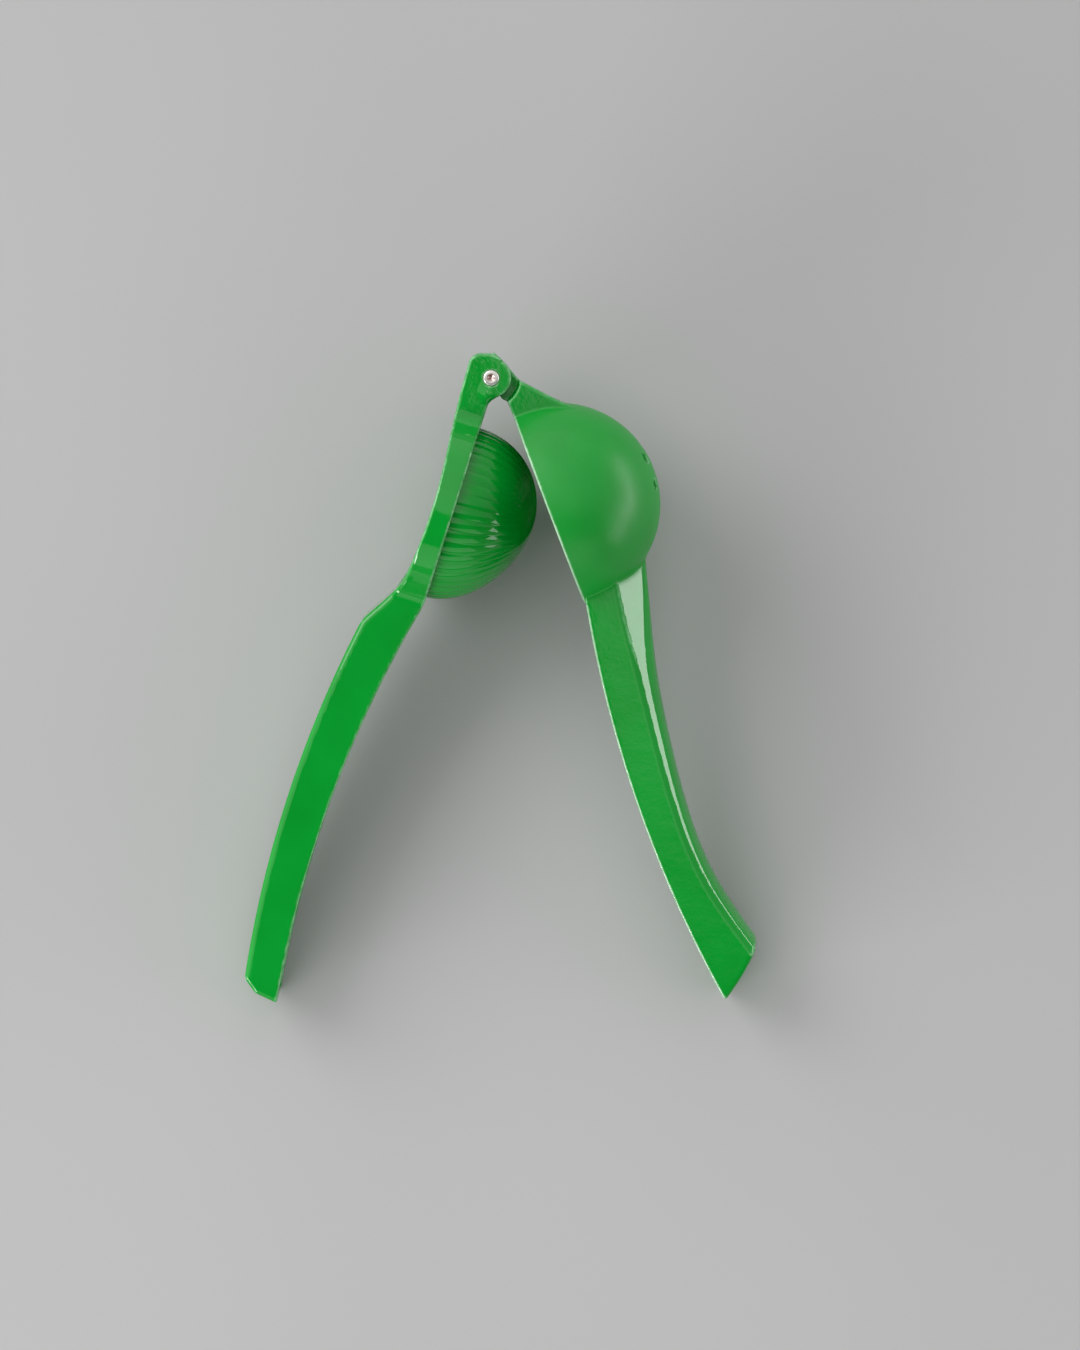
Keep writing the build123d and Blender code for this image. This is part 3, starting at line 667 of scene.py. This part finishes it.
def grown(name, tree, sockets, material, place):
    """Plain mesh object from a tree of Geometry Nodes, in its place."""
    seed_mesh = bpy.data.meshes.new(name + "_start")
    maker = bpy.data.objects.new(name + "_maker", seed_mesh)
    bpy.context.scene.collection.objects.link(maker)
    modifier = maker.modifiers.new("shape", "NODES")
    modifier.node_group = tree
    for identifier, value in sockets.values():
        modifier[identifier] = material if value is None else value
    evaluated = maker.evaluated_get(bpy.context.evaluated_depsgraph_get())
    mesh = bpy.data.meshes.new_from_object(evaluated)
    bpy.data.objects.remove(maker)
    bpy.data.meshes.remove(seed_mesh)
    mesh.name = name
    mesh.transform(place)
    mesh.polygons.foreach_set("use_smooth", np.ones(len(mesh.polygons), bool))
    piece = bpy.data.objects.new(name, mesh)
    bpy.context.scene.collection.objects.link(piece)
    print(name, len(mesh.vertices), "points,", sum(len(p.vertices) - 2 for p in mesh.polygons), "triangles")
    return piece


dome_tree, dome_sizes = fluted_dome_tree()
dome_place = press_place @ Matrix.Translation(Vector((DOME_X, FACE_Y, 0)) * MM)
dome = grown("fluted_dome", dome_tree, dome_sizes, green_enamel, dome_place)


# ---- Hinge pin ----

def turned_pin():
    """Round pin with eased ends and a dimple in each, turned from a profile."""
    half = EAR_OUTER + PIN_PROUD
    r = PIN_R - PIN_EASE
    top = [(0.0, half - 0.9), (0.25, half - 0.86), (0.9, half - 0.3), (1.15, half - 0.07),
           (1.28, half - 0.01), (1.45, half), (1.95, half - 0.02), (2.2, half - 0.08), (2.38, half - 0.2),
           (2.47, half - 0.36), (r, half - 0.55)]
    profile = top + [(radius, -height) for radius, height in reversed(top)]
    turns = 72
    points = []
    for radius, height in profile[1:-1]:
        points += [(radius * cos(2 * pi * k / turns), radius * sin(2 * pi * k / turns), height)
                   for k in range(turns)]
    rings = len(profile) - 2
    faces = [(i * turns + k, (i + 1) * turns + k, (i + 1) * turns + (k + 1) % turns,
              i * turns + (k + 1) % turns)
             for i in range(rings - 1) for k in range(turns)]
    first, last = len(points), len(points) + 1
    points += [(0, 0, profile[0][1]), (0, 0, profile[-1][1])]
    faces += [(first, k, (k + 1) % turns) for k in range(turns)]
    base = (rings - 1) * turns
    faces += [(last, base + (k + 1) % turns, base + k) for k in range(turns)]
    mesh = bpy.data.meshes.new("pin")
    mesh.from_pydata([Vector(p) * MM for p in points], [], faces)
    mesh.transform(press_place)
    mesh.polygons.foreach_set("use_smooth", np.ones(len(mesh.polygons), bool))
    mesh.materials.append(pin_steel)
    piece = bpy.data.objects.new("pin", mesh)
    bpy.context.scene.collection.objects.link(piece)
    return piece


pin = turned_pin()

for piece, body, node, slot in ((bowl_casting, "bowl_arm", "bowl_arm", "green_enamel"),
                                (press_casting, "press_arm", "press_arm", "green_enamel"),
                                (dome, "press_arm", "press_arm", "green_enamel"),
                                (pin, "press_arm", "hinge_pin", "pin_steel")):
    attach(piece, body)
    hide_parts(node)


# ---- Floor, light and camera ----

def floor_material():
    """Pale matt board."""
    material, tree = new_material("pale_board")
    w = Wiring(tree)
    where = w.node("ShaderNodeTexCoord").outputs["Object"]
    shade = w.spread(w.noise(where, 3, 2), 0.3, 0.7, 0, 1)
    colour = w.blend(shade, (0.44, 0.44, 0.44, 1), (0.47, 0.47, 0.47, 1))
    shader = w.node("ShaderNodeBsdfPrincipled", {"Base Color": colour, "Roughness": 0.8,
                                                 "Specular IOR Level": 0.2})
    w.node("ShaderNodeOutputMaterial", {"Surface": shader.outputs[0]})
    return material


def floor_board():
    half = 3.0
    mesh = bpy.data.meshes.new("floor")
    corners = [(-half, -half, 0), (half, -half, 0), (half, half, 0), (-half, half, 0)]
    mesh.from_pydata(corners, [], [(0, 1, 2, 3)])
    mesh.materials.append(floor_material())
    board = bpy.data.objects.new("floor", mesh)
    bpy.context.scene.collection.objects.link(board)


def soft_box(name, place, target, width, height, power):
    light = bpy.data.lights.new(name, "AREA")
    light.shape, light.size, light.size_y, light.energy = "RECTANGLE", width, height, power
    lamp = bpy.data.objects.new(name, light)
    lamp.location = place
    lamp.rotation_euler = (Vector(target) - Vector(place)).to_track_quat("-Z", "Y").to_euler()
    bpy.context.scene.collection.objects.link(lamp)


CEILING_LEVEL, LOW_BAND_LEVEL, ROOM_LEVEL, RIGHT_DIMMING = 0.92, 0.15, 0.06, 0.6
DIM_PATCH_AT, DIM_PATCH_R = (-0.06, -0.19), (0.065, 0.12)


def sky():
    """Soft room: a pale ceiling, dim on the near side, to the right and in one patch overhead."""
    world = bpy.data.worlds.new("soft_room")
    world.use_nodes = True
    world.node_tree.nodes.clear()
    w = Wiring(world.node_tree)
    way = w.node("ShaderNodeSeparateXYZ", {0: w.node("ShaderNodeTexCoord").outputs["Generated"]}).outputs

    def ramp(value, start, stop):
        return w.node("ShaderNodeMapRange", {0: value, 1: start, 2: stop, 3: 0.0, 4: 1.0},
                      interpolation_type="SMOOTHSTEP").outputs[0]

    patch = w.math("SQRT", w.math("ADD", *(
        w.math("POWER", w.math("DIVIDE", w.math("ADD", way[i], -DIM_PATCH_AT[i]), DIM_PATCH_R[i]), 2)
        for i in (0, 1))))
    ceiling = w.math("MULTIPLY", w.math("MULTIPLY", ramp(patch, 0.82, 1.12), ramp(way[1], -0.28, -0.16)),
                     CEILING_LEVEL)
    to_right = w.math("MULTIPLY", ramp(way[0], 0.15, 0.6), RIGHT_DIMMING)
    ceiling = w.math("MULTIPLY", ceiling, w.math("SUBTRACT", 1.0, to_right))
    low_band = w.math("MULTIPLY", ramp(way[2], 0.6, 0.2), LOW_BAND_LEVEL)
    level = w.math("ADD", w.math("ADD", ceiling, low_band), ROOM_LEVEL)
    background = w.node("ShaderNodeBackground", {"Color": (1.0, 1.0, 1.0, 1), "Strength": level})
    w.node("ShaderNodeOutputWorld", {"Surface": background.outputs[0]})
    bpy.context.scene.world = world


# The camera stands over the tool, almost in line with the pin
CAMERA_TURN = (-2.79, 0.22, -0.12)
CAMERA_RISE, PIN_SCALE, PIN_SPOT = 1600.0, 3.1348, (491.35, 377.3)
IMAGE_SIZE = (1080, 1350)


def make_camera():
    rx, ry, rz = (radians(a) for a in CAMERA_TURN)
    turn = Matrix.Rotation(rz, 3, "Z") @ Matrix.Rotation(ry, 3, "Y") @ Matrix.Rotation(rx, 3, "X")
    turn = turn.transposed()
    sideways = (PIN_SPOT[0] - IMAGE_SIZE[0] / 2) / PIN_SCALE
    upwards = (IMAGE_SIZE[1] / 2 - PIN_SPOT[1]) / PIN_SCALE
    spot = Vector(PIN_PLACE) + turn @ Vector((-sideways, -upwards, CAMERA_RISE))
    data = bpy.data.cameras.new("camera")
    data.lens = CAMERA_RISE * PIN_SCALE * data.sensor_width / IMAGE_SIZE[1]
    data.clip_start, data.clip_end = 0.05, 50
    camera = bpy.data.objects.new("camera", data)
    camera.matrix_world = Matrix.Translation(spot * MM) @ turn.to_4x4()
    bpy.context.scene.collection.objects.link(camera)
    bpy.context.scene.camera = camera


# Each lamp's name, place, aim, width, height and power
LAMPS = (
    ("window", (-1.1, 0.75, 0.95), (0, 0, 0), 1.0, 1.0, 11),
    ("low_strip_right", (1.51, 0.49, 0.118), (0, 0, 0.03), 1.3, 0.22, 5.8),
    ("low_strip_left", (-1.1, -1.0, 0.45), (0, 0, 0), 1.2, 0.3, 15),
    ("low_right", (1.55, -0.45, 0.35), (0, 0, 0), 0.9, 0.5, 4),
    ("front", (0.2, -1.5, 0.8), (0, 0, 0), 2.0, 1.0, 5),
)

floor_board()
sky()
for lamp in LAMPS:
    soft_box(*lamp)
make_camera()

bpy.context.scene.view_settings.view_transform = "Standard"
